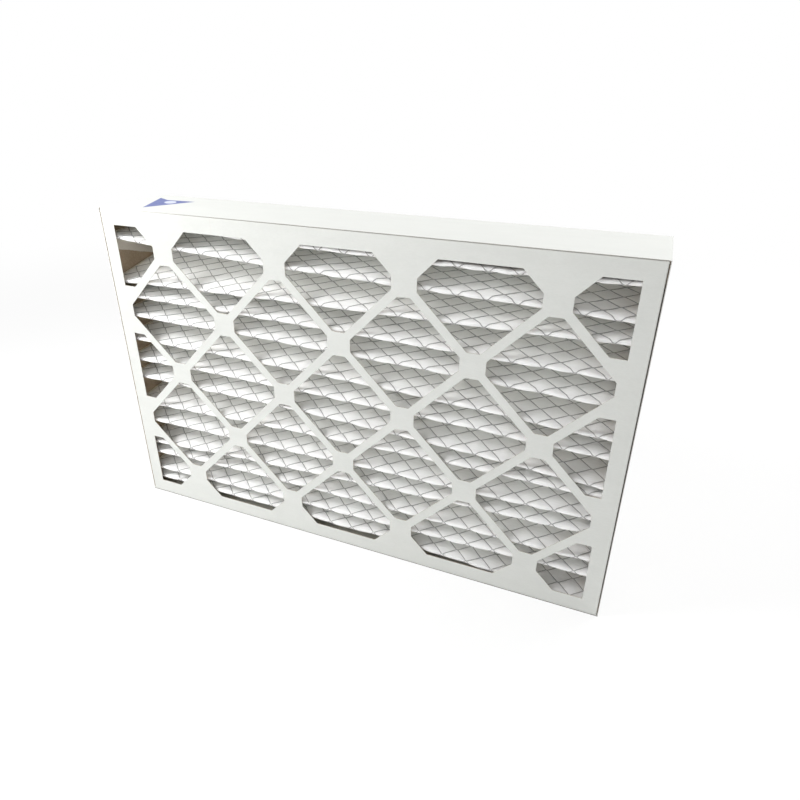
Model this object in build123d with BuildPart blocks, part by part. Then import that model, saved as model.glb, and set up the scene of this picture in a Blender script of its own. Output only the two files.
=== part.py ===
from build123d import *
import os
from itertools import pairwise
from math import asin, atan2, cos, pi, sin, sqrt

# A deep pleated panel air filter, in millimetres. It stands on its long edge: X is its width, Y its depth,
# with the air-leaving face at -Y, and Z its height. The origin is the middle of the edge that it stands on.

os.makedirs("parts", exist_ok=True)

# Overall size
width = 622.3
height = 393.7
depth = 111.1

# Coated board of the two frame halves
board = 0.7                # thickness of the board
fold_radius = 1.0          # outside radius of the creased fold between a face and its walls
nest_gap = 0.15            # film of glue between the walls of the two halves
rim_step = 0.3             # the outer walls end this far behind the front face
rim_gap = 1.5              # the inner walls end this far in front of the rear face
tab_length = 25.0          # glue tab folded from the top and bottom walls onto each side wall
tab_gap = 3.0              # a tab stops this far from the face and from the rim
tab_taper = 6.0            # cut across the free corners of a tab

# Die-cut lattice, the same in both faces
border = 19.05             # solid margin around the lattice
lattice_pitch = 150.0      # distance between neighbouring crossings in a row
strut_width = 9.5          # width of a diagonal strut
crossing_square = 27.5     # side of the solid square left at each crossing
margin_cut = 44.5          # half length of an opening along the margin that cuts it

# Pleated pack
pleat_count = 14           # tips at the front face
end_margin = 22.4          # from the inside of the top or bottom wall to the nearest front tip
media = 2.0                # thickness of the nonwoven sheet
wire = 0.5                 # thickness of the expanded metal that backs it
bend_radius = 0.8          # inside radius of each fold of the pack
tip_clearance = 0.3        # between a tip of the pack and the face that it stands against
flap_length = 18.0         # edge of the sheet that lies flat on the top or bottom wall
flap_bend = 12.0           # radius where that edge leaves the wall

# Adhesive
end_seal = 2.0             # from the end of the pleats to the side wall
bead_lap = 0.5             # the end bead laps this far over each side of the sheet
edge_seal = 1.0            # under the flat edge of the sheet

# The front half nests inside the rear half, so its walls run inside the rear half's walls and tabs.
inner_width = width - 2 * (2 * board + nest_gap)
inner_height = height - 2 * (board + nest_gap)
middle = height / 2
front_face = Plane((0, -depth / 2, middle), x_dir=(1, 0, 0), z_dir=(0, 1, 0))
rear_face = Plane((0, depth / 2, middle), x_dir=(-1, 0, 0), z_dir=(0, -1, 0))

# Inner faces of the frame that the pack and the adhesive meet
panel_front = -depth / 2 + board
panel_rear = depth / 2 - board
rim = panel_rear - rim_gap
wall_side = inner_width / 2 - board
wall_top = middle + inner_height / 2 - board
wall_bottom = middle - inner_height / 2 + board


def opening_centres():
    # Openings sit on every second point of a half-pitch grid, wherever that point is on the face.
    step = lattice_pitch / 2
    columns = int(width / 2 / step)
    rows = int(height / 2 / step)
    for column in range(-columns, columns + 1):
        for row in range(-rows, rows + 1):
            if (column + row) % 2 == 0:
                yield column * step, row * step


def opening_outline(half_width, half_height):
    # A diamond between four struts, with its points cut blunt.
    reach = lattice_pitch / 2 - strut_width / sqrt(2)
    with BuildSketch() as outline:
        Rectangle(reach * sqrt(2), reach * sqrt(2), rotation=45)
        Rectangle(2 * half_width, 2 * half_height, mode=Mode.INTERSECT)
    return outline.sketch


def lattice_openings(plane):
    window_width = width - 2 * border
    window_height = height - 2 * border
    blunt = (lattice_pitch - crossing_square) / 2
    with BuildSketch(plane) as openings:
        for x, y in opening_centres():
            # An opening that a margin cuts through its middle also has its corners there cut blunt.
            half_width = blunt if abs(y) < window_height / 2 else margin_cut
            half_height = blunt if abs(x) < window_width / 2 else margin_cut
            with Locations((x, y)):
                add(opening_outline(half_width, half_height))
        Rectangle(window_width, window_height, mode=Mode.INTERSECT)
    return openings.sketch


def glue_tabs(plane, half_width, half_height, half_depth):
    # Four tabs, one in each corner, folded from the top and bottom walls onto the side walls.
    run = half_depth - board - 2 * tab_gap
    inside = half_width / 2 - board
    with BuildPart() as tabs:
        for side in (-1, 1):
            wall = Plane(
                plane.from_local_coords((side * inside, 0, board + tab_gap + run / 2)),
                x_dir=plane.z_dir,
                z_dir=plane.x_dir * -side,
            )
            with BuildSketch(wall):
                for end in (-1, 1):
                    with BuildSketch(mode=Mode.PRIVATE) as tab:
                        Rectangle(run, tab_length, align=(Align.CENTER, Align.MAX))
                        free_corners = tab.vertices().group_by(Axis.Y)[0]
                        chamfer(free_corners, tab_taper)
                    flip = 0 if end > 0 else 180
                    with Locations(Location((0, end * (half_height / 2 - board)), flip)):
                        add(tab.sketch)
            extrude(amount=board)
    return tabs.part


def frame_half(plane, half_width, half_height, half_depth):
    # One folded sheet: a die-cut face, four walls folded back from it, and the glue tabs inside them.
    inward = Axis(plane.origin, plane.z_dir)
    with BuildPart() as half:
        with BuildSketch(plane):
            Rectangle(half_width, half_height)
        extrude(amount=half_depth)
        with BuildSketch(plane.offset(board)):
            Rectangle(half_width - 2 * board, half_height - 2 * board)
        extrude(amount=half_depth, mode=Mode.SUBTRACT)
        fillet(half.faces().filter_by(inward).sort_by(inward)[0].edges(), fold_radius)
        extrude(lattice_openings(plane), amount=board, mode=Mode.SUBTRACT)
        add(glue_tabs(plane, half_width, half_height, half_depth))
    return half.part


def pack_rolls():
    # The sheet is drawn taut around these circles, from its top edge to its bottom edge. A positive radius
    # passes in front of its circle and a negative one passes behind it. Radii are those of the glue plane
    # between wire and media.
    inset = tip_clearance + wire + media + bend_radius
    flap_line = edge_seal + wire
    flap_start = rim - flap_length
    first_tip = wall_top - end_margin
    pitch = (wall_top - wall_bottom - 2 * end_margin) / (pleat_count - 1)
    rolls = [(Vector(flap_start, wall_top - flap_line - flap_bend), flap_bend)]
    for pleat in range(pleat_count):
        tip = first_tip - pleat * pitch
        rolls.append((Vector(panel_front + inset, tip), bend_radius + media))
        if pleat < pleat_count - 1:
            rolls.append((Vector(panel_rear - inset, tip - pitch / 2), -bend_radius - wire))
    rolls.append((Vector(flap_start, wall_bottom + flap_line + flap_bend), flap_bend))
    return rolls


def taut_heading(start, end):
    # Direction of the straight run from one roll to the next.
    (start_centre, start_radius), (end_centre, end_radius) = start, end
    span = end_centre - start_centre
    return atan2(span.Y, span.X) - asin((end_radius - start_radius) / span.length)


def pleat_line(shift, fold):
    # One side of the pleated sheet, as far in front of the glue plane as shift says. Returns its two ends.
    rolls = pack_rolls()
    headings = [pi] + [taut_heading(*pair) for pair in pairwise(rolls)] + [0]
    top_end = Vector(rim, wall_top - edge_seal - wire + shift)
    bottom_end = Vector(rim, wall_bottom + edge_seal + wire - shift)
    reached = top_end
    for (centre, radius), arriving, leaving in zip(rolls, headings, headings[1:]):
        signed = radius + shift
        touch = centre + Vector(sin(arriving), -cos(arriving)) * signed
        release = centre + Vector(sin(leaving), -cos(leaving)) * signed
        crown = centre + (touch + release - centre * 2).normalized() * abs(signed)
        Line(reached, touch)
        fold(touch, crown, release)
        reached = release
    Line(reached, bottom_end)
    return top_end, bottom_end


def pleated_sheet(plane, behind, in_front, fold=ThreePointArc):
    # Section of a sheet between two shifts from the glue plane.
    with BuildSketch(plane) as section:
        with BuildLine():
            back_top, back_bottom = pleat_line(-behind, fold)
            front_top, front_bottom = pleat_line(in_front, fold)
            Line(back_top, front_top)
            Line(back_bottom, front_bottom)
        make_face()
    return section.sketch


def end_bead(side):
    # Bead of adhesive along the ends of the pleats. It fills the space up to the side wall and its glue tabs.
    with BuildPart() as bead:
        with BuildSketch(Plane.YZ.offset(side * pack_half)):
            add(pleated_sheet(Plane.XY, media + bead_lap, wire + bead_lap, fold=Polyline))
            with Locations(((panel_front + rim) / 2, middle)):
                Rectangle(rim - panel_front, wall_top - wall_bottom - 2 * edge_seal, mode=Mode.INTERSECT)
        extrude(amount=side * end_seal)
        add(glue_tabs(front_face, inner_width, inner_height, front_depth), mode=Mode.SUBTRACT)
    return bead.part


def edge_strip(wall, plane_side):
    # Strip of adhesive between the flat edge of the sheet and the top or bottom wall.
    with BuildPart() as strip:
        with BuildSketch(Plane.XY.offset(wall)):
            with Locations((0, rim - flap_length / 2)):
                Rectangle(2 * pack_half, flap_length)
        extrude(amount=plane_side * edge_seal)
    return strip.part


front_depth = rim + depth / 2
rear_depth = depth - rim_step
pack_half = wall_side - end_seal

# Front half of the frame: the lattice face on the air-leaving side, with its walls nested inside the rear half
with BuildPart() as front_frame:
    add(frame_half(front_face, inner_width, inner_height, front_depth))
front_frame.part.label = "front_frame"
export_step(front_frame.part, "parts/front_frame.step")

# Rear half of the frame: the lattice face on the air-entering side and the outside walls
with BuildPart() as rear_frame:
    add(frame_half(rear_face, width, height, rear_depth))
rear_frame.part.label = "rear_frame"
export_step(rear_frame.part, "parts/rear_frame.step")

# Nonwoven media, one sheet folded into pleats across the full depth
with BuildPart() as pleated_media:
    extrude(pleated_sheet(Plane.YZ, media, 0), amount=pack_half, both=True)
pleated_media.part.label = "pleated_media"
export_step(pleated_media.part, "parts/pleated_media.step")

# Expanded metal on the air-leaving side of the media, folded with it; its mesh is left plain here
with BuildPart() as support_grid:
    extrude(pleated_sheet(Plane.YZ, 0, wire), amount=pack_half, both=True)
support_grid.part.label = "support_grid"
export_step(support_grid.part, "parts/support_grid.step")

# Adhesive along both ends of the pleats
with BuildPart() as left_end_seal:
    add(end_bead(-1))
left_end_seal.part.label = "left_end_seal"
export_step(left_end_seal.part, "parts/left_end_seal.step")

with BuildPart() as right_end_seal:
    add(end_bead(1))
right_end_seal.part.label = "right_end_seal"
export_step(right_end_seal.part, "parts/right_end_seal.step")

# Adhesive under the flat edges of the sheet
with BuildPart() as top_edge_seal:
    add(edge_strip(wall_top, -1))
top_edge_seal.part.label = "top_edge_seal"
export_step(top_edge_seal.part, "parts/top_edge_seal.step")

with BuildPart() as bottom_edge_seal:
    add(edge_strip(wall_bottom, 1))
bottom_edge_seal.part.label = "bottom_edge_seal"
export_step(bottom_edge_seal.part, "parts/bottom_edge_seal.step")
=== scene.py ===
import math

import bmesh
import bpy
import numpy as np
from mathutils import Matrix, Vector, noise


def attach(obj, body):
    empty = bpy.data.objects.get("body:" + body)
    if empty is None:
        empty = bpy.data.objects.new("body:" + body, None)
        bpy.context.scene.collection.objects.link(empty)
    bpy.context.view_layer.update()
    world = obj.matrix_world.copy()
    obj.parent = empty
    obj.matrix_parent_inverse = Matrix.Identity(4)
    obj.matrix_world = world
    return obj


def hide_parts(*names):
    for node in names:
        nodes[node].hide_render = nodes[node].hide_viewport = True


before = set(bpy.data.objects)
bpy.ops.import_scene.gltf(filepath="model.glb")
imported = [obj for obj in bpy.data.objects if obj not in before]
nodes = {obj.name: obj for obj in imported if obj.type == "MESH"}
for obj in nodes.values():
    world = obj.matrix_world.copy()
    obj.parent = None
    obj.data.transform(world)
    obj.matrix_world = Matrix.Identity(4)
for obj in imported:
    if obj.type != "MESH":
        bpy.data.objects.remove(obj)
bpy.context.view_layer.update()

scene = bpy.context.scene
scene.view_settings.view_transform = "Standard"
scene.cycles.diffuse_bounces = 16
scene.cycles.max_bounces = 24
print("frame loaded:", ", ".join(sorted(nodes)))


# Small helpers

def deselectAll():
    if bpy.context.object and bpy.context.object.mode == "EDIT":
        bpy.ops.object.mode_set(mode="OBJECT")
    bpy.ops.object.select_all(action="DESELECT")


def activate(piece):
    deselectAll()
    piece.select_set(True)
    bpy.context.view_layer.objects.active = piece


def applyModifiers(piece):
    activate(piece)
    for modifier in list(piece.modifiers):
        bpy.ops.object.modifier_apply(modifier=modifier.name)


def applyPlace(piece):
    activate(piece)
    bpy.ops.object.transform_apply(location=True, rotation=True, scale=True)


def place(tree, kind, wires=None, **settings):
    # A new node with its settings, each input either linked to a socket or set to a constant
    node = tree.nodes.new(kind)
    node.location = (190 * (len(tree.nodes) % 12), -260 * (len(tree.nodes) // 12))
    for name, value in settings.items():
        setattr(node, name, value)
    for socket, value in (wires or {}).items():
        if isinstance(value, bpy.types.NodeSocket):
            tree.links.new(value, node.inputs[socket])
        else:
            node.inputs[socket].default_value = value
    return node


def maths(tree, operation, first, second=0.5, third=0.5):
    wires = {0: first, 1: second}
    if operation in ("MULTIPLY_ADD", "COMPARE"):
        wires[2] = third
    return place(tree, "ShaderNodeMath", wires, operation=operation).outputs[0]


def vectorMaths(tree, operation, first, second=(0, 0, 0)):
    return place(tree, "ShaderNodeVectorMath", {0: first, 1: second}, operation=operation)


def remap(tree, value, low, high, newLow=0.0, newHigh=1.0, smooth=True):
    wires = {"Value": value, "From Min": low, "From Max": high, "To Min": newLow, "To Max": newHigh}
    kind = "SMOOTHSTEP" if smooth else "LINEAR"
    return place(tree, "ShaderNodeMapRange", wires, interpolation_type=kind).outputs["Result"]


def mixColour(tree, factor, first, second):
    return place(tree, "ShaderNodeMix", {0: factor, 6: first, 7: second}, data_type="RGBA").outputs[2]


def newGroup(name, inputs, outputs):
    tree = bpy.data.node_groups.new(name, "ShaderNodeTree")
    for label, kind, value in inputs:
        socket = tree.interface.new_socket(label, in_out="INPUT", socket_type=kind)
        if value is not None:
            socket.default_value = value
    for label, kind in outputs:
        tree.interface.new_socket(label, in_out="OUTPUT", socket_type=kind)
    start = tree.nodes.new("NodeGroupInput")
    end = tree.nodes.new("NodeGroupOutput")
    return tree, start.outputs, end.inputs


def useGroup(tree, group, wires):
    return place(tree, "ShaderNodeGroup", wires, node_tree=group).outputs


def newMaterial(name, **constants):
    material = bpy.data.materials.new(name)
    material.use_nodes = True
    shader = material.node_tree.nodes["Principled BSDF"]
    for socket, value in constants.items():
        shader.inputs[socket.replace("_", " ")].default_value = value
    return material, material.node_tree, shader


def grey(level, warmth=0.0):
    return (level * (1 + warmth), level, level * (1 - 1.6 * warmth), 1.0)


# Camera and studio

camera = {
    "location": (0.29439, -0.59597, 0.50829),
    "turn": (63.667, -0.622, 22.630),      # degrees about X, Y and Z
    "lens": 27.219,                        # millimetres on a 36 mm sensor
}

deselectAll()
bpy.ops.object.camera_add(location=camera["location"], rotation=[math.radians(a) for a in camera["turn"]])
eye = bpy.context.object
eye.name = "viewCamera"
eye.data.lens = camera["lens"]
eye.data.sensor_width = 36.0
eye.data.clip_start = 0.01
scene.camera = eye

studio = {
    "keyPlace": (-0.78, -0.50, 0.82),
    "keyAim": (-0.10, 0.0, 0.2),
    "keySize": 0.45,
    "keyPower": 11.5,
    "topPlace": (0.45, 0.30, 1.25),
    "topAim": (0.0, 0.0, 0.35),
    "topSize": 0.9,
    "topPower": 6.8,
    "rearPlace": (1.2, 1.6, 0.9),
    "rearAim": (0.0, 0.0, 0.2),
    "rearSize": 1.5,
    "rearPower": 18.0,
    "fillPlace": (-0.20, -1.10, 0.60),
    "fillAim": (0.0, 0.0, 0.2),
    "fillSize": 0.9,
    "fillPower": 2.5,
    "ambient": 0.37,
    "floorColour": (0.96, 0.96, 0.955, 1.0),
    "floorGlow": 0.80,                     # share of plain white the camera sees on the floor nearby
}


def addLamp(name, location, aim, size, power):
    direction = Vector(aim) - Vector(location)
    turn = direction.to_track_quat("-Z", "Y").to_euler()
    bpy.ops.object.light_add(type="AREA", location=location, rotation=turn)
    lamp = bpy.context.object
    lamp.name = name
    lamp.data.shape = "DISK"
    lamp.data.size = size
    lamp.data.energy = power
    return lamp


for lampName in ("key", "top", "rear", "fill"):
    addLamp(
        lampName + "Lamp",
        studio[lampName + "Place"],
        studio[lampName + "Aim"],
        studio[lampName + "Size"],
        studio[lampName + "Power"],
    )

world = bpy.data.worlds.new("studioWorld")
scene.world = world
world.use_nodes = True
sky = world.node_tree
backing = sky.nodes["Background"]
seen = place(sky, "ShaderNodeLightPath")
seenHere = maths(sky, "MAXIMUM", seen.outputs["Is Camera Ray"], seen.outputs["Is Glossy Ray"])
seenHere = maths(sky, "MAXIMUM", seenHere, seen.outputs["Is Transmission Ray"])
skyLevel = remap(sky, seenHere, 0.0, 1.0, studio["ambient"], 1.0, smooth=False)
sky.links.new(skyLevel, backing.inputs["Strength"])
backing.inputs["Color"].default_value = (1, 1, 1, 1)

deselectAll()
bpy.ops.mesh.primitive_plane_add(size=40, location=(0, 0, 0))
floor = bpy.context.object
floor.name = "studioFloor"
applyPlace(floor)

floorMaterial, floorTree, floorShader = newMaterial("studioFloorPaint", Roughness=0.9, Specular_IOR_Level=0.1)
floorShader.inputs["Base Color"].default_value = studio["floorColour"]
floorSeen = place(floorTree, "ShaderNodeLightPath")
floorHere = maths(
    floorTree, "MAXIMUM", floorSeen.outputs["Is Camera Ray"], floorSeen.outputs["Is Glossy Ray"]
)
floorHere = maths(floorTree, "MAXIMUM", floorHere, floorSeen.outputs["Is Transmission Ray"])
glow = place(floorTree, "ShaderNodeEmission", {"Color": (1, 1, 1, 1), "Strength": 1.0})
floorPoint = place(floorTree, "ShaderNodeTexCoord").outputs["Object"]
faraway = vectorMaths(floorTree, "LENGTH", floorPoint).outputs["Value"]
share = maths(floorTree, "MULTIPLY", floorHere, remap(floorTree, faraway, 0.5, 2.2, studio["floorGlow"], 1.0))
blendIn = place(
    floorTree, "ShaderNodeMixShader", {0: share, 1: floorShader.outputs[0], 2: glow.outputs[0]}
)
floorTree.links.new(blendIn.outputs[0], floorTree.nodes["Material Output"].inputs["Surface"])
floor.data.materials.append(floorMaterial)
print("camera and studio ready")


# Shared effects

fineGrain, gIn, gOut = newGroup(
    "fineGrain",
    [("Vector", "NodeSocketVector", None), ("Grain Size", "NodeSocketFloat", 0.001),
     ("Streak", "NodeSocketFloat", 1.0), ("Detail", "NodeSocketFloat", 4.0)],
    [("Tone", "NodeSocketFloat"), ("Height", "NodeSocketFloat")],
)
stretch = place(fineGrain, "ShaderNodeCombineXYZ", {0: gIn["Streak"], 1: 1.0, 2: 1.0})
grainAt = vectorMaths(fineGrain, "MULTIPLY", gIn["Vector"], stretch.outputs[0]).outputs[0]
grainScale = maths(fineGrain, "DIVIDE", 1.0, gIn["Grain Size"])
fineNoise = place(
    fineGrain, "ShaderNodeTexNoise",
    {"Vector": grainAt, "Scale": grainScale, "Detail": gIn["Detail"], "Roughness": 0.6},
)
broadNoise = place(
    fineGrain, "ShaderNodeTexNoise",
    {"Vector": grainAt, "Scale": maths(fineGrain, "MULTIPLY", grainScale, 0.09), "Detail": 3.0},
)
fineGrain.links.new(
    maths(fineGrain, "MULTIPLY_ADD", fineNoise.outputs[0], 0.55,
          maths(fineGrain, "MULTIPLY", broadNoise.outputs[0], 0.45)),
    gOut["Tone"],
)
fineGrain.links.new(fineNoise.outputs[0], gOut["Height"])

# How near a point lies to the faces, and to the folded edges, of a box
boxSkin, sIn, sOut = newGroup(
    "boxSkin",
    [("Vector", "NodeSocketVector", None), ("Low", "NodeSocketVector", None),
     ("High", "NodeSocketVector", None), ("Depth", "NodeSocketFloat", 0.0003)],
    [("Skin", "NodeSocketFloat"), ("Fold", "NodeSocketFloat")],
)
fromLow = vectorMaths(boxSkin, "SUBTRACT", sIn["Vector"], sIn["Low"]).outputs[0]
fromHigh = vectorMaths(boxSkin, "SUBTRACT", sIn["High"], sIn["Vector"]).outputs[0]
nearest = vectorMaths(boxSkin, "MINIMUM", fromLow, fromHigh).outputs[0]
parts = place(boxSkin, "ShaderNodeSeparateXYZ", {0: nearest}).outputs
least = maths(boxSkin, "MINIMUM", maths(boxSkin, "MINIMUM", parts[0], parts[1]), parts[2])
most = maths(boxSkin, "MAXIMUM", maths(boxSkin, "MAXIMUM", parts[0], parts[1]), parts[2])
total = maths(boxSkin, "ADD", maths(boxSkin, "ADD", parts[0], parts[1]), parts[2])
second = maths(boxSkin, "SUBTRACT", maths(boxSkin, "SUBTRACT", total, least), most)
boxSkin.links.new(maths(boxSkin, "LESS_THAN", least, sIn["Depth"]), sOut["Skin"])
boxSkin.links.new(remap(boxSkin, second, 0.0, 0.004, 1.0, 0.0), sOut["Fold"])

# Faint marks of handling: soft patches broken up by finer ones
handling, hIn, hOut = newGroup(
    "handlingMarks",
    [("Vector", "NodeSocketVector", None), ("Patch Size", "NodeSocketFloat", 0.08),
     ("Amount", "NodeSocketFloat", 0.5)],
    [("Marks", "NodeSocketFloat")],
)
patchScale = maths(handling, "DIVIDE", 1.0, hIn["Patch Size"])
patches = place(handling, "ShaderNodeTexNoise", {"Vector": hIn["Vector"], "Scale": patchScale, "Detail": 5.0})
breakUp = place(
    handling, "ShaderNodeTexNoise",
    {"Vector": hIn["Vector"], "Scale": maths(handling, "MULTIPLY", patchScale, 7.0), "Detail": 6.0},
)
soft = remap(handling, patches.outputs[0], 0.45, 0.75)
broken = remap(handling, breakUp.outputs[0], 0.35, 0.7)
handling.links.new(
    maths(handling, "MULTIPLY", maths(handling, "MULTIPLY", soft, broken), hIn["Amount"]), hOut["Marks"]
)

# Cushions between the strands of the net, on the unfolded sheet
netCushion, nIn, nOut = newGroup(
    "netCushion",
    [("Flat", "NodeSocketVector", None), ("Cell Width", "NodeSocketFloat", 0.03),
     ("Cell Height", "NodeSocketFloat", 0.024)],
    [("Cushion", "NodeSocketFloat"), ("Strand", "NodeSocketFloat")],
)
flatParts = place(netCushion, "ShaderNodeSeparateXYZ", {0: nIn["Flat"]}).outputs
acrossCells = maths(netCushion, "DIVIDE", flatParts[0], nIn["Cell Width"])
alongCells = maths(netCushion, "DIVIDE", flatParts[1], nIn["Cell Height"])
rising = maths(netCushion, "MULTIPLY", maths(netCushion, "ADD", acrossCells, alongCells), 2 * math.pi)
falling = maths(netCushion, "MULTIPLY", maths(netCushion, "SUBTRACT", acrossCells, alongCells), 2 * math.pi)
crestOne = maths(netCushion, "MULTIPLY_ADD", maths(netCushion, "COSINE", rising), 0.5, 0.5)
crestTwo = maths(netCushion, "MULTIPLY_ADD", maths(netCushion, "COSINE", falling), 0.5, 0.5)
cushionTop = maths(netCushion, "POWER", maths(netCushion, "MULTIPLY", crestOne, crestTwo), 0.45)
netCushion.links.new(cushionTop, nOut["Cushion"])
netCushion.links.new(
    remap(netCushion, maths(netCushion, "MINIMUM", crestOne, crestTwo), 0.0, 0.05, 1.0, 0.0), nOut["Strand"]
)
print("shared effects ready")


# Coated board of the two frame halves

board = {
    "white": (0.62, 0.63, 0.605, 1.0),
    "whiteLow": (0.59, 0.60, 0.575, 1.0),
    "kraft": (0.44, 0.345, 0.245, 1.0),
    "kraftDark": (0.34, 0.26, 0.18, 1.0),
    # Painted shade on the raw cut edges: this tone is the board's edge darkened by the shade of the gap
    # between the two halves
    "cutEdgeAndGapShade": (0.30, 0.29, 0.265, 1.0),
    # painted light: the same edge, painted pale towards the left, where it is most brightly lit
    "cutEdgePaintedLight": (0.78, 0.77, 0.74, 1.0),
    # painted shadow: the same edge, near black along the bottom, for the contact shadow at the floor
    "cutEdgeContactShadow": (0.11, 0.105, 0.10, 1.0),
    # painted light: the same edge, painted lighter along the right rim
    "cutEdgeRightPaintedLight": (0.50, 0.49, 0.47, 1.0),
    "trayGlue": (0.86, 0.86, 0.82, 1.0),
    "scuff": (0.60, 0.575, 0.53, 1.0),
    "skinDepth": 0.00034,                  # how deep the white coating goes into the board
    "pitch": 0.0011,                       # grain of the coating
    "fibre": 0.0022,                       # grain of the bare kraft
    "marks": 0.16,                         # how much the marks of handling show
    "wear": 0.35,                          # how much the worn folds show
    "frontRim": 0.05335,                   # depth of the raw rim of the front half's walls
    "rearRim": -0.05525,
    "paintedLightFrom": -0.12,                     # painted light: the cut edge is painted paler from here to the left
    "paintedLightTo": -0.305,
    "rightRim": 0.3097,
    "lowRim": 0.0012,
    "glueTop": 0.0020,                     # height of the glue on the floor of each tray
    "creaseAt": -0.1524,                   # painted shade: a faint upright crease in the front's top border, drawn as a darker line
    "creaseLow": 0.374,
    "creaseDepth": -0.0552,
    "creaseShadeShare": 0.22,
    "paleBandFrom": 0.3303,                   # height where a pale band on the left wall begins
    "paleBandRise": 0.27,                     # the band runs down towards the rear, as the pleat above it does
    "paleBandWidth": 0.0145,
    "paleBandSide": -0.3080,                  # only the wall to the left of this plane gets the band
    "paleBandShare": 0.5,
    "frontLow": (-0.3096, -0.05555, 0.00085),
    "frontHigh": (0.3096, 0.0600, 0.39285),
    "rearLow": (-0.31115, -0.0600, 0.0),
    "rearHigh": (0.31115, 0.05555, 0.3937),
    "roughness": 0.5,
}

arrow = {
    "tip": (-0.2622, -0.0366),
    "leftBarb": (-0.2970, 0.0320),
    "rightBarb": (-0.2366, 0.0240),
    "tail": (-0.2770, 0.0215),
    "ink": (0.075, 0.10, 0.28, 1.0),
    "inkPale": (0.50, 0.53, 0.65, 1.0),
    "spotCentre": (-0.2610, 0.0085),
    "spotSize": (0.0070, 0.0110),
    "spotTurn": 42.0,                      # degrees
}


def edgeSide(tree, point, start, end, softness=0.0007):
    # 1 on the left of the line from start to end, seen from above
    along = Vector(end) - Vector(start)
    across = Vector((-along.y, along.x)).normalized()
    offset = vectorMaths(tree, "SUBTRACT", point, (start[0], start[1], 0)).outputs[0]
    side = vectorMaths(tree, "DOT_PRODUCT", offset, (across.x, across.y, 0)).outputs["Value"]
    return remap(tree, side, -softness, softness)


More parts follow.
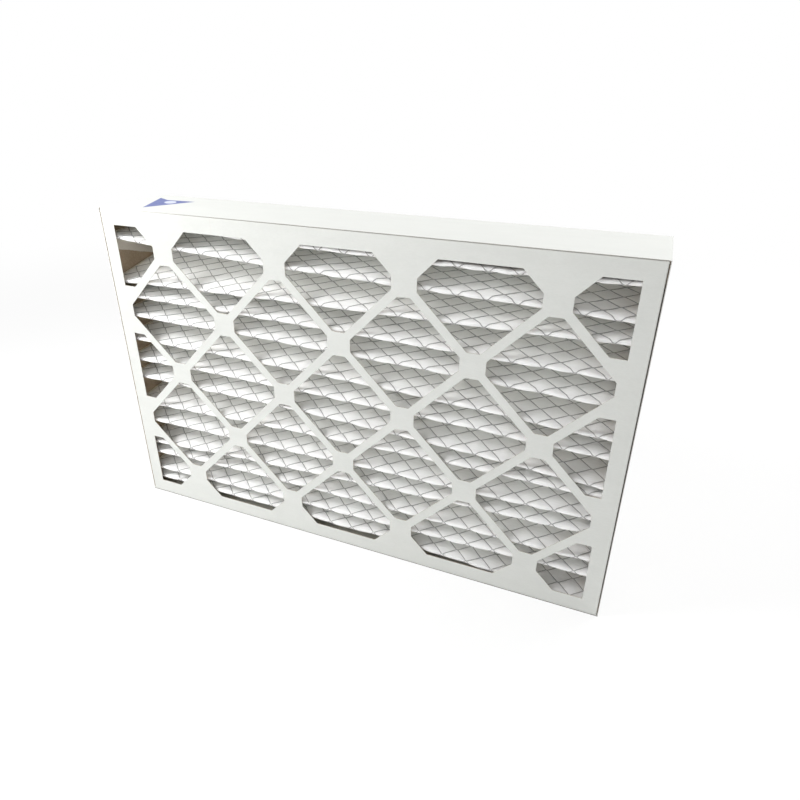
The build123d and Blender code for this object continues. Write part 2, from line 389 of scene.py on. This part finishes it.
def makeBoard(name, low, high, rimDepth, printed=False):
    material, tree, shader = newMaterial(name, Specular_IOR_Level=0.42, Coat_Weight=0.0)
    point = place(tree, "ShaderNodeTexCoord").outputs["Object"]
    skin = useGroup(tree, boxSkin, {"Vector": point, "Low": low, "High": high, "Depth": board["skinDepth"]})
    grain = useGroup(
        tree, fineGrain, {"Vector": point, "Grain Size": board["pitch"], "Streak": 0.35, "Detail": 5.0}
    )
    liner = useGroup(
        tree, fineGrain, {"Vector": point, "Grain Size": board["fibre"], "Streak": 0.22, "Detail": 6.0}
    )
    marks = useGroup(tree, handling, {"Vector": point, "Patch Size": 0.07, "Amount": 0.5})["Marks"]
    coated = mixColour(tree, remap(tree, grain["Tone"], 0.35, 0.65), board["whiteLow"], board["white"])
    coated = mixColour(tree, maths(tree, "MULTIPLY", marks, board["marks"]), coated, board["scuff"])
    worn = maths(tree, "MULTIPLY", skin["Fold"], remap(tree, liner["Tone"], 0.52, 0.66))
    coated = mixColour(tree, maths(tree, "MULTIPLY", worn, board["wear"]), coated, board["scuff"])
    if printed:
        dart = maths(
            tree, "MULTIPLY",
            edgeSide(tree, point, arrow["tip"], arrow["rightBarb"]),
            edgeSide(tree, point, arrow["leftBarb"], arrow["tip"]),
        )
        back = maths(
            tree, "MAXIMUM",
            edgeSide(tree, point, arrow["rightBarb"], arrow["tail"]),
            edgeSide(tree, point, arrow["tail"], arrow["leftBarb"]),
        )
        dart = maths(tree, "MULTIPLY", dart, back)
        height = place(tree, "ShaderNodeSeparateXYZ", {0: point}).outputs[2]
        dart = maths(tree, "MULTIPLY", dart, maths(tree, "GREATER_THAN", height, high[2] - 0.0003))
        spotAt = vectorMaths(tree, "SUBTRACT", point, (*arrow["spotCentre"], high[2])).outputs[0]
        spotAt = place(
            tree, "ShaderNodeVectorRotate", {"Vector": spotAt, "Angle": -math.radians(arrow["spotTurn"])},
            rotation_type="Z_AXIS",
        ).outputs[0]
        spotAt = vectorMaths(tree, "DIVIDE", spotAt, (*arrow["spotSize"], 1)).outputs[0]
        spot = remap(tree, vectorMaths(tree, "LENGTH", spotAt).outputs["Value"], 0.9, 1.1, 1.0, 0.0)
        inked = maths(tree, "MULTIPLY_ADD", remap(tree, grain["Height"], 0.3, 0.5), 0.10, 0.88)
        colour = mixColour(tree, spot, arrow["ink"], arrow["inkPale"])
        coated = mixColour(tree, maths(tree, "MULTIPLY", dart, inked), coated, colour)
    bare = mixColour(tree, remap(tree, liner["Tone"], 0.36, 0.66), board["kraftDark"], board["kraft"])
    sides = place(tree, "ShaderNodeSeparateXYZ", {0: point}).outputs
    paleCover = remap(tree, sides[2], board["glueTop"], 2 * board["glueTop"], 1.0, 0.0)
    if not printed:
        # A pale band on the left wall along the underside of the pleat above it, in the tray glue's colour
        aslant = maths(tree, "MULTIPLY_ADD", sides[1], board["paleBandRise"], sides[2])
        aslant = maths(tree, "SUBTRACT", aslant, board["paleBandFrom"])
        aslant = maths(tree, "MULTIPLY_ADD", maths(tree, "SUBTRACT", grain["Tone"], 0.5), 0.004, aslant)
        band = maths(
            tree, "MULTIPLY", remap(tree, aslant, 0.0, 0.0010),
            remap(tree, aslant, board["paleBandWidth"], board["paleBandWidth"] + 0.001, 1.0, 0.0),
        )
        band = maths(tree, "MULTIPLY", band, maths(tree, "LESS_THAN", sides[0], board["paleBandSide"]))
        paleCover = maths(tree, "MAXIMUM", paleCover, maths(tree, "MULTIPLY", band, board["paleBandShare"]))
        # Painted shade of the crease: a narrow darker line in the scuff colour
        crease = maths(tree, "ABSOLUTE", maths(tree, "SUBTRACT", sides[0], board["creaseAt"]))
        crease = remap(tree, crease, 0.0003, 0.0011, board["creaseShadeShare"], 0.0)
        crease = maths(tree, "MULTIPLY", crease, maths(tree, "GREATER_THAN", sides[2], board["creaseLow"]))
        crease = maths(tree, "MULTIPLY", crease, maths(tree, "LESS_THAN", sides[1], board["creaseDepth"]))
        coated = mixColour(tree, crease, coated, board["scuff"])
    bare = mixColour(tree, paleCover, bare, board["trayGlue"])
    # The raw rims of the walls take the cut-edge tones below: painted light and shade on one and the same
    # board edge
    rim = maths(tree, "COMPARE", sides[1], rimDepth, 0.00006)
    # Painted light: the cut edge fades to a pale tone towards the left
    inwards = remap(tree, sides[0], board["paintedLightTo"], board["paintedLightFrom"])
    cut = mixColour(tree, inwards, board["cutEdgePaintedLight"], board["cutEdgeAndGapShade"])
    # Painted light: a lighter tone of the cut edge along the right rim
    atRight = maths(tree, "GREATER_THAN", sides[0], board["rightRim"])
    cut = mixColour(tree, atRight, cut, board["cutEdgeRightPaintedLight"])
    # Painted shadow: the bottom rim's cut edge is darkened for the contact shadow
    cut = mixColour(tree, maths(tree, "LESS_THAN", sides[2], board["lowRim"]), cut, board["cutEdgeContactShadow"])
    bare = mixColour(tree, rim, bare, cut)
    coated = mixColour(tree, rim, coated, cut)
    tree.links.new(mixColour(tree, skin["Skin"], bare, coated), shader.inputs["Base Color"])
    gloss = remap(tree, grain["Tone"], 0.3, 0.7, board["roughness"] - 0.05, board["roughness"] + 0.06)
    dull = maths(tree, "MULTIPLY_ADD", maths(tree, "SUBTRACT", 1.0, skin["Skin"]), 0.34, gloss)
    tree.links.new(dull, shader.inputs["Roughness"])
    wave = place(tree, "ShaderNodeTexNoise", {"Vector": point, "Scale": 16.0, "Detail": 2.0})
    tooth = maths(tree, "MULTIPLY", grain["Height"], 0.00003)
    lift = maths(tree, "MULTIPLY_ADD", wave.outputs[0], 0.0022, tooth)
    bump = place(tree, "ShaderNodeBump", {"Height": lift, "Strength": 0.5, "Distance": 1.0})
    tree.links.new(bump.outputs[0], shader.inputs["Normal"])
    return material


def dress(node, material):
    piece = nodes[node]
    for index in range(len(piece.material_slots)):
        piece.material_slots[index].link = "DATA"
        piece.material_slots[index].material = material


frontBoard = makeBoard("coatedBoardFront", board["frontLow"], board["frontHigh"], board["frontRim"])
rearBoard = makeBoard(
    "coatedBoardRear", board["rearLow"], board["rearHigh"], board["rearRim"], printed=True
)
dress("front_frame", frontBoard)
dress("rear_frame", rearBoard)
print("board ready")


# The fold that the pleated sheet, its net and its end beads all follow

fold = {
    "top": 0.3937,
    "halfWidth": 0.3069,
    "rim": board["frontRim"],
    "flapRoll": (0.03535, 0.012),          # depth of the roll's centre and its radius
    "frontRoll": (-0.0520, 0.0019),
    "rearRoll": (0.05125, -0.0013),
    "flapHeights": (0.37865, 0.01505),
    "stations": (-0.290, -0.145, 0.0, 0.145, 0.290),
    "tipDrop": 0.0013,                     # from a fold's lowest line up to its centre
    "tips": (                              # millimetres below the top edge, at each station
        (14.0, 18.6, 24.0, 24.9, 24.1),
        (35.5, 43.5, 48.4, 52.3, 57.0),
        (87.9, 84.6, 82.6, 80.6, 77.7),
        (105.0, 106.9, 108.8, 110.9, 113.6),
        (130.6, 131.7, 133.8, 137.0, 141.1),
        (162.8, 162.7, 165.1, 169.7, 176.3),
        (191.0, 189.6, 190.5, 193.1, 196.8),
        (215.0, 215.8, 218.3, 223.3, 231.6),
        (253.4, 248.6, 244.6, 242.4, 242.7),
        (278.7, 277.4, 274.9, 272.6, 271.8),
        (313.9, 305.3, 298.3, 293.1, 289.5),
        (329.4, 325.2, 324.3, 324.7, 324.4),
        (356.1, 352.3, 349.5, 346.9, 344.3),
        (370.6, 369.6, 369.0, 372.8, 381.2),
    ),
    "wobble": 0.0011,                      # unevenness of the folds along their length
    "sway": 0.0009,                        # unevenness of the runs between the folds
    "cushion": 0.0006,                     # how far the sheet swells between the strands
}

net = {
    "cellWidth": 0.0300,
    "cellHeight": 0.0240,
    "bond": 0.0016,
    "strand": 0.00115,
    "shift": -0.007,                       # sideways place of its cells
    "thickness": 0.0005,
    "lift": 0.00015,
    "sideTrim": 0.0003,                    # how far the net stays inside the sheet's edges
    "endTrim": 0.0004,
    "rollCuts": 6,                         # extra cuts on each front fold
    "dark": 0.38,
    "light": 0.50,
    "dull": 0.55,
}

tipCurves = [
    np.polyfit(fold["stations"], [fold["top"] - t / 1000 + fold["tipDrop"] for t in tip], 3)
    for tip in fold["tips"]
]


def tipHeight(index, x):
    broad = noise.noise(Vector((x * 28.0, index * 7.3, 1.7)))
    fine = noise.noise(Vector((x * 75.0, index * 3.1, 8.2)))
    return float(np.polyval(tipCurves[index], x)) + fold["wobble"] * (broad + 0.5 * fine)


def rollAt(index, x):
    # The rolls from the top flap to the bottom flap: depth, height and signed radius
    last = 2 * len(tipCurves)
    if index == 0 or index == last:
        return fold["flapRoll"][0], fold["flapHeights"][0 if index == 0 else 1], fold["flapRoll"][1]
    if index % 2:
        back = 0.0007 * (1 + noise.noise(Vector((x * 22.0, index * 2.9, 4.4))))
        return fold["frontRoll"][0] + back, tipHeight(index // 2, x), fold["frontRoll"][1]
    between = (tipHeight(index // 2 - 1, x) + tipHeight(index // 2, x)) / 2
    return fold["rearRoll"][0], between, fold["rearRoll"][1]


def heading(start, end):
    spanY = end[0] - start[0]
    spanZ = end[1] - start[1]
    turn = math.atan2(spanZ, spanY) - math.asin((end[2] - start[2]) / math.hypot(spanY, spanZ))
    return turn if turn > 0 else turn + 2 * math.pi


rollCount = 2 * len(tipCurves) + 1


def headingFrom(index, x):
    if index < 0:
        return math.pi
    if index >= rollCount - 1:
        return 2 * math.pi
    return heading(rollAt(index, x), rollAt(index + 1, x))


def touchPoint(roll, angle):
    return roll[0] + math.sin(angle) * roll[2], roll[1] - math.cos(angle) * roll[2]


def layOut():
    # Lengths along the sheet at mid width: flat flap, roll, run, roll ... flat flap
    lengths = []
    flapRun = fold["rim"] - fold["flapRoll"][0]
    lengths.append(("flap", 0, flapRun))
    for index in range(rollCount):
        roll = rollAt(index, 0.0)
        arriving, leaving = headingFrom(index - 1, 0.0), headingFrom(index, 0.0)
        lengths.append(("roll", index, abs(leaving - arriving) * abs(roll[2])))
        if index < rollCount - 1:
            start = touchPoint(roll, leaving)
            end = touchPoint(rollAt(index + 1, 0.0), leaving)
            lengths.append(("run", index, math.dist(start, end)))
    lengths.append(("flap", rollCount - 1, flapRun))
    return lengths


sheetParts = layOut()
partStarts = np.concatenate([[0.0], np.cumsum([part[2] for part in sheetParts])])
sheetLength = float(partStarts[-1])
print("sheet length unfolded: %.3f m" % sheetLength)


# A row of the net's bonds lies just under the second front fold
bondLine = partStarts[6] + 0.7 * sheetParts[6][2] - net["cellHeight"] / 2
net["drop"] = float(bondLine % net["cellHeight"]) - net["cellHeight"]


def foldPoint(x, along, lift=0.0):
    # A point of the folded sheet, lift in front of it
    along = min(max(along, 0.0), sheetLength - 1e-9)
    partNumber = int(np.searchsorted(partStarts, along, side="right")) - 1
    kind, index, length = sheetParts[partNumber]
    partShare = (along - partStarts[partNumber]) / length
    roll = rollAt(index, x)
    if kind == "flap":
        angle = math.pi if index == 0 else 2 * math.pi
        y, z = touchPoint(roll, angle)
        y = fold["rim"] + (y - fold["rim"]) * partShare if index == 0 else y + (fold["rim"] - y) * partShare
    elif kind == "roll":
        angle = headingFrom(index - 1, x) * (1 - partShare) + headingFrom(index, x) * partShare
        y, z = touchPoint(roll, angle)
    else:
        angle = headingFrom(index, x)
        start = touchPoint(roll, angle)
        end = touchPoint(rollAt(index + 1, x), angle)
        y = start[0] + (end[0] - start[0]) * partShare
        z = start[1] + (end[1] - start[1]) * partShare
        sway = noise.noise(Vector((x * 14.0, index * 5.7, partShare * 1.3))) * math.sin(math.pi * partShare)
        lift = lift + fold["sway"] * sway
    return Vector((x, y + math.sin(angle) * lift, z - math.cos(angle) * lift))


def cushionAt(x, along):
    across = (x - net["shift"]) / net["cellWidth"]
    down = (along - net["drop"]) / net["cellHeight"]
    crestRising = math.cos(2 * math.pi * (across + down)) * 0.5 + 0.5
    crestFalling = math.cos(2 * math.pi * (across - down)) * 0.5 + 0.5
    return (crestRising * crestFalling) ** 0.45


# The pleated sheet

sheet = {
    "columns": 200,
    "runStops": (0.05, 0.13, 0.30, 0.62),   # shares of a run, from its front end
    "frontRollSteps": 4,
    "rearRollSteps": 2,
    "thickness": 0.0020,
    "white": (0.99, 0.992, 0.98, 1.0),
    "shade": (0.935, 0.94, 0.92, 1.0),
    "fleck": (0.88, 0.87, 0.82, 1.0),
    "clumps": 0.25,                         # how much the clumps of fibre show
    "strandShadeShare": 0.15,                    # painted shade: how much the sheet is painted darker beside a strand
    "fluff": 0.0009,                        # heights of the bump
    "swell": 0.0006,
}


def sheetStops():
    stops = []
    for start, (kind, index, length) in zip(partStarts, sheetParts):
        if kind == "flap":
            shares = np.linspace(0, 1, 4)[:-1]
        elif kind == "roll":
            atFront = index % 2 == 1 or index in (0, rollCount - 1)
            steps = sheet["frontRollSteps"] if atFront else sheet["rearRollSteps"]
            shares = np.linspace(0, 1, steps + 1)[:-1]
        elif index % 2:
            shares = [0.0, *sheet["runStops"]]
        else:
            shares = [0.0, *[1 - s for s in reversed(sheet["runStops"])]]
        stops.extend(start + s * length for s in shares)
    stops.append(sheetLength)
    return stops


def makeFlatGrid(name, columns, rows):
    deselectAll()
    bpy.ops.mesh.primitive_grid_add(x_subdivisions=columns, y_subdivisions=rows, size=1)
    piece = bpy.context.object
    piece.name = name
    return piece


def rollUp(piece, acrossStops, alongStops, liftOf):
    # Every point of the flat grid goes to its place on the fold and keeps its flat place as an attribute
    columns = len(acrossStops)
    rows = len(alongStops)
    flat = piece.data.attributes.new("flat", "FLOAT_VECTOR", "POINT")
    kept = []
    for vertex in piece.data.vertices:
        column = round((vertex.co.x + 0.5) * (columns - 1))
        row = round((0.5 - vertex.co.y) * (rows - 1))
        x, along = acrossStops[column], alongStops[row]
        vertex.co = foldPoint(x, along, liftOf(x, along))
        kept.extend((x, along, 0.0))
    flat.data.foreach_set("vector", kept)
    piece.data.update()


alongStops = sheetStops()
acrossStops = list(np.linspace(-fold["halfWidth"], fold["halfWidth"], sheet["columns"] + 1))
pleatedSheet = makeFlatGrid("pleatedSheet", sheet["columns"], len(alongStops) - 1)
rollUp(pleatedSheet, acrossStops, alongStops, lambda x, along: fold["cushion"] * cushionAt(x, along))
activate(pleatedSheet)
wall = pleatedSheet.modifiers.new("thickness", "SOLIDIFY")
wall.thickness = sheet["thickness"]
wall.offset = -1.0
applyModifiers(pleatedSheet)
bpy.ops.object.shade_smooth()
print("sheet:", len(pleatedSheet.data.polygons), "faces")


fabric, tree, shader = newMaterial(
    "filterFabric", Roughness=0.92, Specular_IOR_Level=0.15, Subsurface_Weight=1.0, Subsurface_Scale=0.006,
    Subsurface_Radius=(1.0, 1.0, 1.0),
)
flatAt = place(tree, "ShaderNodeAttribute", attribute_name="flat").outputs["Vector"]
fibres = useGroup(tree, fineGrain, {"Vector": flatAt, "Grain Size": 0.0024, "Streak": 0.22, "Detail": 7.0})
clumps = useGroup(tree, handling, {"Vector": flatAt, "Patch Size": 0.05, "Amount": 1.0})["Marks"]
underNet = vectorMaths(tree, "SUBTRACT", flatAt, (net["shift"], net["drop"], 0)).outputs[0]
cells = useGroup(
    tree, netCushion,
    {"Flat": underNet, "Cell Width": net["cellWidth"], "Cell Height": net["cellHeight"]},
)
colour = mixColour(tree, remap(tree, fibres["Tone"], 0.3, 0.7), sheet["shade"], sheet["white"])
colour = mixColour(tree, maths(tree, "MULTIPLY", clumps, sheet["clumps"]), colour, sheet["fleck"])
# Painted shade beside the strands of the net, in the fleck colour
paintedStrandShade = maths(tree, "MULTIPLY", cells["Strand"], sheet["strandShadeShare"])
colour = mixColour(tree, paintedStrandShade, colour, sheet["fleck"])
tree.links.new(colour, shader.inputs["Base Color"])
fluff = maths(tree, "MULTIPLY", fibres["Height"], sheet["fluff"])
swell = maths(tree, "MULTIPLY_ADD", cells["Cushion"], sheet["swell"], fluff)
bump = place(tree, "ShaderNodeBump", {"Height": swell, "Strength": 0.9, "Distance": 1.0})
tree.links.new(bump.outputs[0], shader.inputs["Normal"])
pleatedSheet.data.materials.clear()
pleatedSheet.data.materials.append(fabric)
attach(pleatedSheet, "root")
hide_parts("pleated_media")


# The expanded metal net on the front side of the sheet

def makeFlatNet(name, firstRow, lastRow):
    # One strand over one cell: half a bond, a slope, a bond, a slope and half a bond
    deselectAll()
    half = net["bond"] / 2
    rise = net["cellHeight"] / 4
    slope = (net["cellWidth"] / 2 - net["bond"]) / 2
    bpy.ops.mesh.primitive_plane_add(size=1, location=(0, 0, 0))
    piece = bpy.context.object
    piece.name = name
    bpy.ops.object.mode_set(mode="EDIT")
    bpy.ops.transform.resize(value=(half, net["strand"], 1))
    bpy.ops.transform.translate(value=(half / 2, -2 * rise, 0))
    for stepX, stepY in (
        (slope, rise), (slope, rise), (2 * half, 0), (slope, -rise), (slope, -rise), (half, 0),
    ):
        mesh = bmesh.from_edit_mesh(piece.data)
        rightmost = max(vertex.co.x for vertex in mesh.verts)
        bpy.ops.mesh.select_all(action="DESELECT")
        for vertex in mesh.verts:
            vertex.select = vertex.co.x > rightmost - 1e-6
        mesh.select_flush_mode()
        bmesh.update_edit_mesh(piece.data)
        bpy.ops.mesh.extrude_region_move(TRANSFORM_OT_translate={"value": (stepX, stepY, 0)})
    bpy.ops.mesh.select_all(action="SELECT")
    # Its neighbour is the same strand the other way up
    bpy.ops.mesh.duplicate()
    bpy.ops.transform.resize(value=(1, -1, 1), center_override=(0, 0, 0))
    # The sheet's front side is the underside of this flat net
    mesh = bmesh.from_edit_mesh(piece.data)
    mesh.normal_update()
    for face in mesh.faces:
        if face.normal.z > 0:
            face.normal_flip()
    bmesh.update_edit_mesh(piece.data)
    bpy.ops.object.mode_set(mode="OBJECT")
    cellCount = math.ceil(2 * fold["halfWidth"] / net["cellWidth"]) + 2
    sideways = piece.modifiers.new("sideways", "ARRAY")
    sideways.use_relative_offset = False
    sideways.use_constant_offset = True
    sideways.constant_offset_displace = (net["cellWidth"], 0, 0)
    sideways.count = cellCount
    sideways.use_merge_vertices = True
    sideways.merge_threshold = 0.00002
    downwards = piece.modifiers.new("downwards", "ARRAY")
    downwards.use_relative_offset = False
    downwards.use_constant_offset = True
    downwards.constant_offset_displace = (0, net["cellHeight"], 0)
    downwards.count = lastRow - firstRow
    applyModifiers(piece)
    # Moved to its first row and trimmed at both side walls
    startX = net["shift"] - math.ceil(fold["halfWidth"] / net["cellWidth"]) * net["cellWidth"]
    bpy.ops.object.mode_set(mode="EDIT")
    bpy.ops.mesh.select_all(action="SELECT")
    bpy.ops.transform.translate(value=(startX, firstRow * net["cellHeight"] + net["drop"], 0))
    for side in (-1, 1):
        sideCut = side * (fold["halfWidth"] - net["sideTrim"])
        bpy.ops.mesh.select_all(action="SELECT")
        bpy.ops.mesh.bisect(plane_co=(sideCut, 0, 0), plane_no=(side, 0, 0), clear_outer=True)
    if firstRow == 0:
        bpy.ops.mesh.select_all(action="SELECT")
        bpy.ops.mesh.bisect(plane_co=(0, net["endTrim"], 0), plane_no=(0, -1, 0), clear_outer=True)
    bpy.ops.mesh.select_all(action="SELECT")
    lastCut = sheetLength - net["endTrim"]
    bpy.ops.mesh.bisect(plane_co=(0, lastCut, 0), plane_no=(0, 1, 0), clear_outer=True)
    # Extra cuts where the net goes round a front fold
    for start, (kind, index, length) in zip(partStarts, sheetParts):
        if kind != "roll" or index % 2 == 0:
            continue
        if not firstRow * net["cellHeight"] < start + length < lastRow * net["cellHeight"]:
            continue
        for cut in np.linspace(0, 1, net["rollCuts"]):
            bpy.ops.mesh.select_all(action="SELECT")
            bpy.ops.mesh.bisect(plane_co=(0, start + cut * length, 0), plane_no=(0, 1, 0))
    bpy.ops.object.mode_set(mode="OBJECT")
    return piece


def rollUpNet(piece):
    flat = piece.data.attributes.new("flat", "FLOAT_VECTOR", "POINT")
    kept = []
    for vertex in piece.data.vertices:
        x, along = vertex.co.x, vertex.co.y
        vertex.co = foldPoint(x, along, net["lift"])
        kept.extend((x, along, 0.0))
    flat.data.foreach_set("vector", kept)
    piece.data.update()


rowCount = math.ceil(sheetLength / net["cellHeight"]) + 2
middleRow = rowCount // 2
nets = []
for name, firstRow, lastRow in (("netUpper", 0, middleRow), ("netLower", middleRow, rowCount)):
    piece = makeFlatNet(name, firstRow, lastRow)
    rollUpNet(piece)
    activate(piece)
    wall = piece.modifiers.new("thickness", "SOLIDIFY")
    wall.thickness = net["thickness"]
    wall.offset = 1.0
    applyModifiers(piece)
    nets.append(piece)
    print(name, len(piece.data.polygons), "faces")

wireMetal, tree, shader = newMaterial("expandedMetal", Metallic=0.55, Roughness=0.5)
point = place(tree, "ShaderNodeTexCoord").outputs["Object"]
spangle = useGroup(tree, fineGrain, {"Vector": point, "Grain Size": 0.003, "Streak": 1.0, "Detail": 4.0})
dull = useGroup(tree, handling, {"Vector": point, "Patch Size": 0.03, "Amount": 1.0})["Marks"]
spangled = remap(tree, spangle["Tone"], 0.35, 0.65)
colour = mixColour(tree, spangled, grey(net["dark"]), grey(net["light"], 0.01))
colour = mixColour(tree, maths(tree, "MULTIPLY", dull, 0.4), colour, grey(net["dull"], 0.03))
tree.links.new(colour, shader.inputs["Base Color"])
tree.links.new(remap(tree, spangle["Tone"], 0.3, 0.7, 0.42, 0.6), shader.inputs["Roughness"])
for piece in nets:
    piece.data.materials.clear()
    piece.data.materials.append(wireMetal)
    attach(piece, "root")
    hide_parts("support_grid")


# Beads of adhesive that close the ends of the pleats

bead = {
    "inner": 0.3063,
    "outer": 0.3089,
    "lapFront": 0.0009,
    "lapBack": 0.0006,
    "lump": 0.0004,
    "highest": 0.0012,
    "deepest": 0.0546,
    "colour": (0.70, 0.66, 0.55, 1.0),
    "pale": (0.80, 0.775, 0.69, 1.0),
}


def beadLift(x, along):
    # Flush with the sheet at its inner edge, lumpy and proud of it towards the wall
    if abs(x) < bead["inner"] + 0.0001:
        return 0.0
    lump = noise.noise(Vector((math.copysign(5.0, x), along * 130.0, 2.0)))
    return min(bead["lapFront"] + bead["lump"] * lump, bead["highest"])


beadStops = []
for start, (kind, index, length) in zip(partStarts, sheetParts):
    count = {"flap": 3, "roll": 4, "run": 14}[kind]
    beadStops.extend(start + length * np.linspace(0, 1, count + 1)[:-1])
beadStops.append(sheetLength)

beads = []
for name, side, node in (("beadLeft", -1, "left_end_seal"), ("beadRight", 1, "right_end_seal")):
    edges = sorted(side * x for x in (bead["inner"], (bead["inner"] + bead["outer"]) / 2, bead["outer"]))
    piece = makeFlatGrid(name, 2, len(beadStops) - 1)
    rollUp(piece, edges, beadStops, beadLift)
    activate(piece)
    wall = piece.modifiers.new("thickness", "SOLIDIFY")
    wall.thickness = sheet["thickness"] + bead["lapFront"] + bead["lapBack"]
    wall.offset = -1.0
    applyModifiers(piece)
    for vertex in piece.data.vertices:
        vertex.co.y = min(max(vertex.co.y, -bead["deepest"]), bead["deepest"])
        vertex.co.x = min(max(vertex.co.x, -bead["outer"]), bead["outer"])
    bpy.ops.object.shade_smooth()
    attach(piece, "root")
    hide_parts(node)
    beads.append(piece)

glue, tree, shader = newMaterial("panelGlue", Specular_IOR_Level=0.5)
point = place(tree, "ShaderNodeTexCoord").outputs["Object"]
milky = useGroup(tree, fineGrain, {"Vector": point, "Grain Size": 0.004, "Streak": 1.0, "Detail": 3.0})
tree.links.new(
    mixColour(tree, remap(tree, milky["Tone"], 0.35, 0.65), bead["colour"], bead["pale"]),
    shader.inputs["Base Color"],
)
tree.links.new(remap(tree, milky["Tone"], 0.3, 0.7, 0.3, 0.5), shader.inputs["Roughness"])
ripple = maths(tree, "MULTIPLY", milky["Height"], 0.0006)
bump = place(tree, "ShaderNodeBump", {"Height": ripple, "Distance": 1.0})
tree.links.new(bump.outputs[0], shader.inputs["Normal"])
for piece in beads:
    piece.data.materials.clear()
    piece.data.materials.append(glue)
dress("top_edge_seal", glue)
dress("bottom_edge_seal", glue)
print("adhesive ready")
